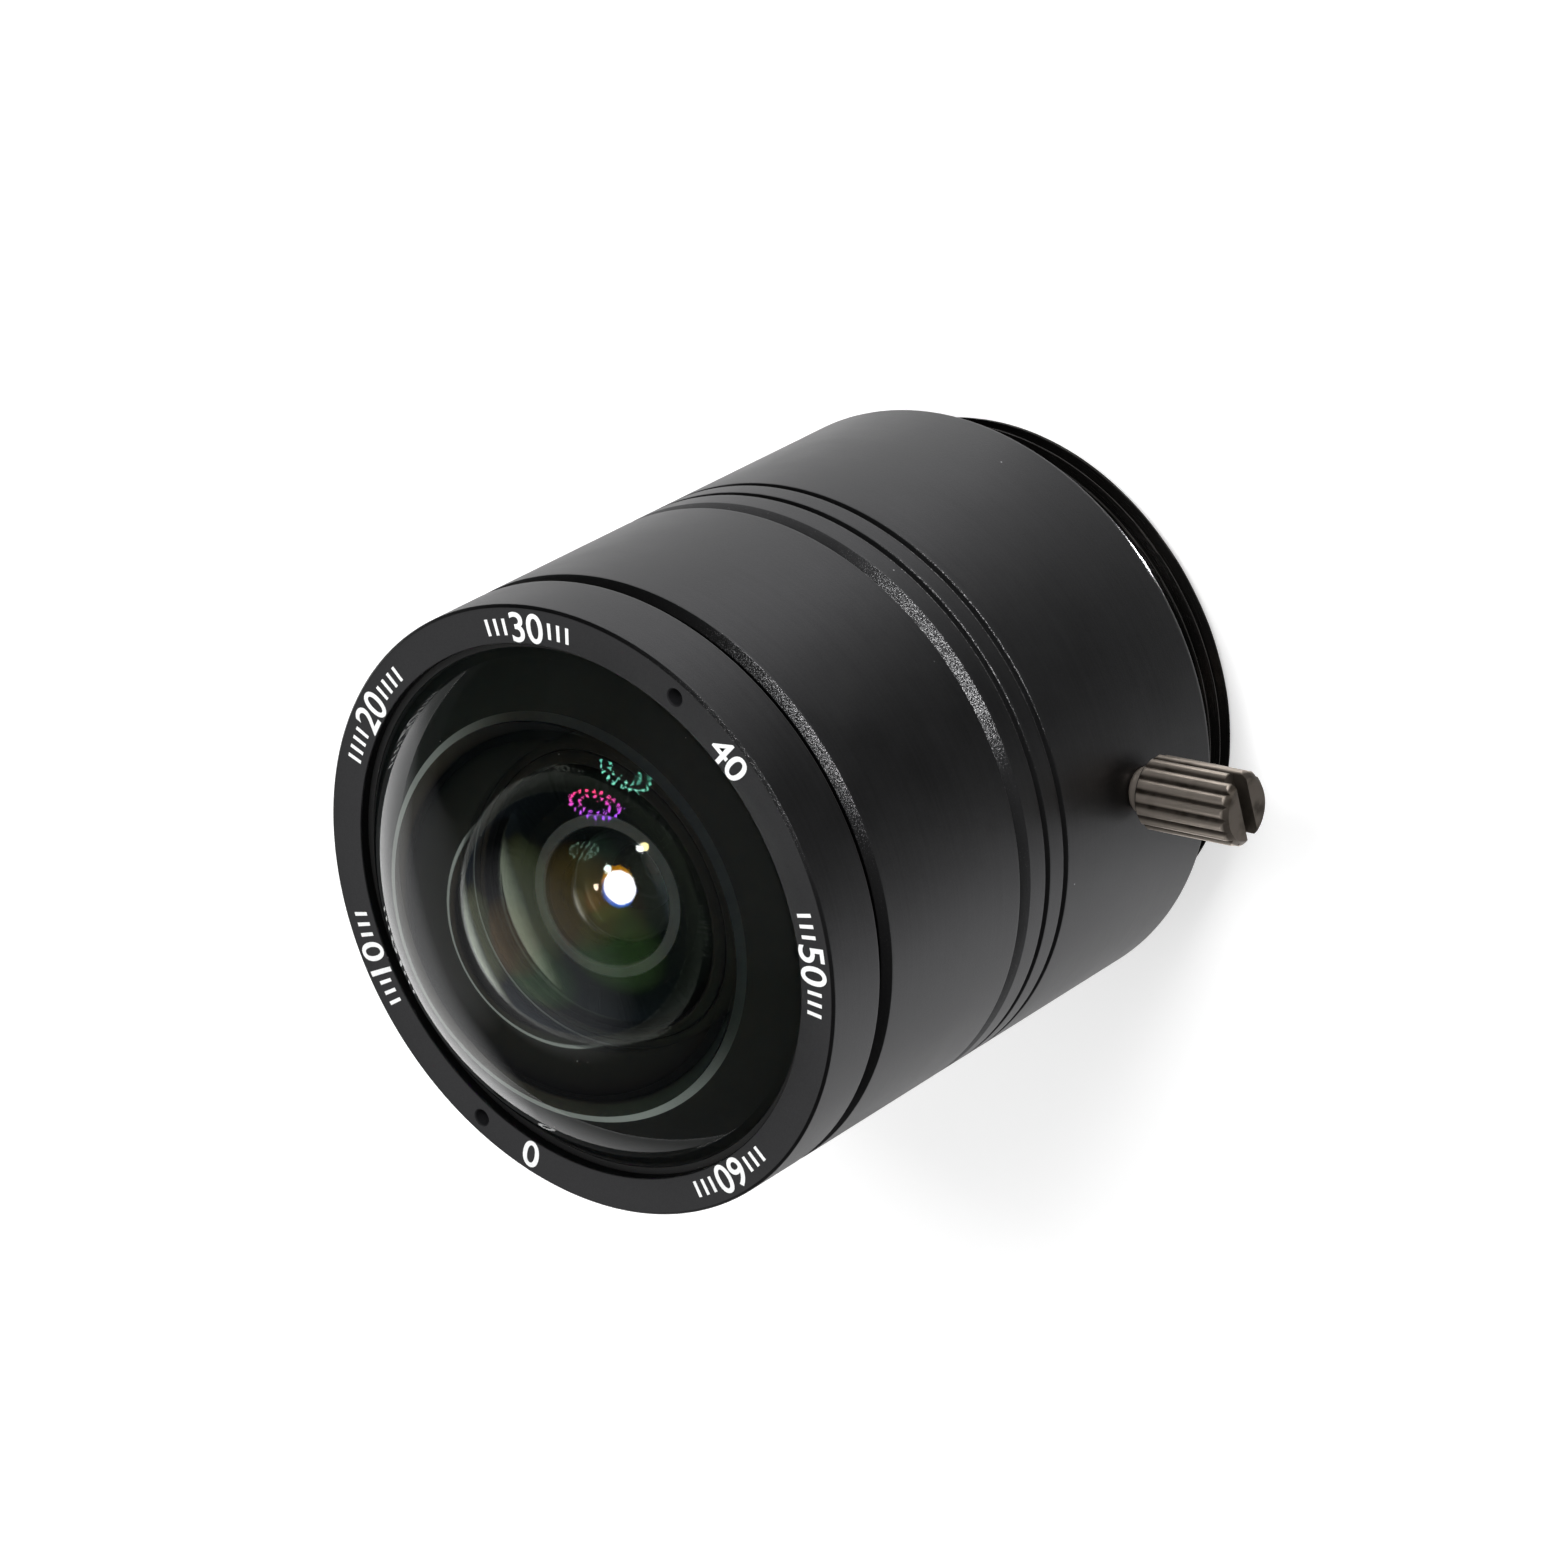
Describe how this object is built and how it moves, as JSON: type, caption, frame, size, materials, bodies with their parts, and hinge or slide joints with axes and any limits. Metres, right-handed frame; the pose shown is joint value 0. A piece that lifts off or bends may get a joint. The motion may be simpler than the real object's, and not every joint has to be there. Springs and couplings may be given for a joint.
{
  "type": "security camera lens",
  "caption": "Short cylindrical wide-angle lens with a domed front glass, a focus ring, a screw-in rear mount and a knurled lock screw.",
  "frame": {"origin": "centre of the rear end of the mount thread, on the optical axis, where the lens stands", "axes": "+Z along the optical axis towards the front glass, +X along the lock screw, outwards"},
  "size_m": [0.0341, 0.0284, 0.0374],
  "materials": {
    "satin_black": "satin black anodised",
    "gloss_black": "glossy black anodised",
    "inner_black": "matt black anodised",
    "screw_nickel": "dull nickel plating",
    "steel": "ground",
    "seal_rubber": "matt black",
    "tip_plastic": "natural nylon",
    "coated_glass": "anti-reflection coated"
  },
  "bodies": {
    "rear_body": {"mount_ring": "gloss_black", "rear_barrel": "satin_black", "focus_retainer": "inner_black"},
    "focus_sleeve": {"focus_ring": "satin_black"},
    "lens_group": {"lens_cell": "inner_black", "guide_pin": "steel", "front_ring": "satin_black", "front_seal": "seal_rubber", "front_element": "coated_glass", "second_element_ring": "inner_black", "second_element": "coated_glass", "third_element": "coated_glass", "long_spacer": "inner_black", "aperture_stop": "inner_black", "stop_spacer": "inner_black", "doublet_crown": "coated_glass", "doublet_flint": "coated_glass", "doublet_spacer": "inner_black", "sixth_element": "coated_glass", "rear_spacer": "inner_black", "rear_element": "coated_glass", "rear_retaining_ring": "inner_black"},
    "screw_plug": {"screw_tip": "tip_plastic"},
    "lock_screw": {"thumb_screw": "screw_nickel"}
  },
  "joints": [
    {"name": "focus_turn", "type": "hinge", "parent": "rear_body", "child": "focus_sleeve", "pos_m": [0, 0, 0.0235], "axis": [0, 0, 1], "range_deg": [-160, 160]},
    {"name": "lens_slide", "type": "slide", "parent": "rear_body", "child": "lens_group", "axis": [0, 0, 1], "range_m": [-0.00022223, 0.00022223]},
    {"name": "screw_travel", "type": "slide", "parent": "rear_body", "child": "screw_plug", "axis": [1, 0, 0], "range_m": [0, 0.00039999]},
    {"name": "screw_turn", "type": "hinge", "parent": "screw_plug", "child": "lock_screw", "pos_m": [0.016, 0, 0.0095], "axis": [1, 0, 0], "range_deg": [0, 360]}
  ],
  "couplings": [
    {"joint": "lens_slide", "follows": "focus_turn", "m_per_rad": 0.000079577},
    {"joint": "screw_turn", "follows": "screw_travel", "rad_per_m": 15708}
  ]
}
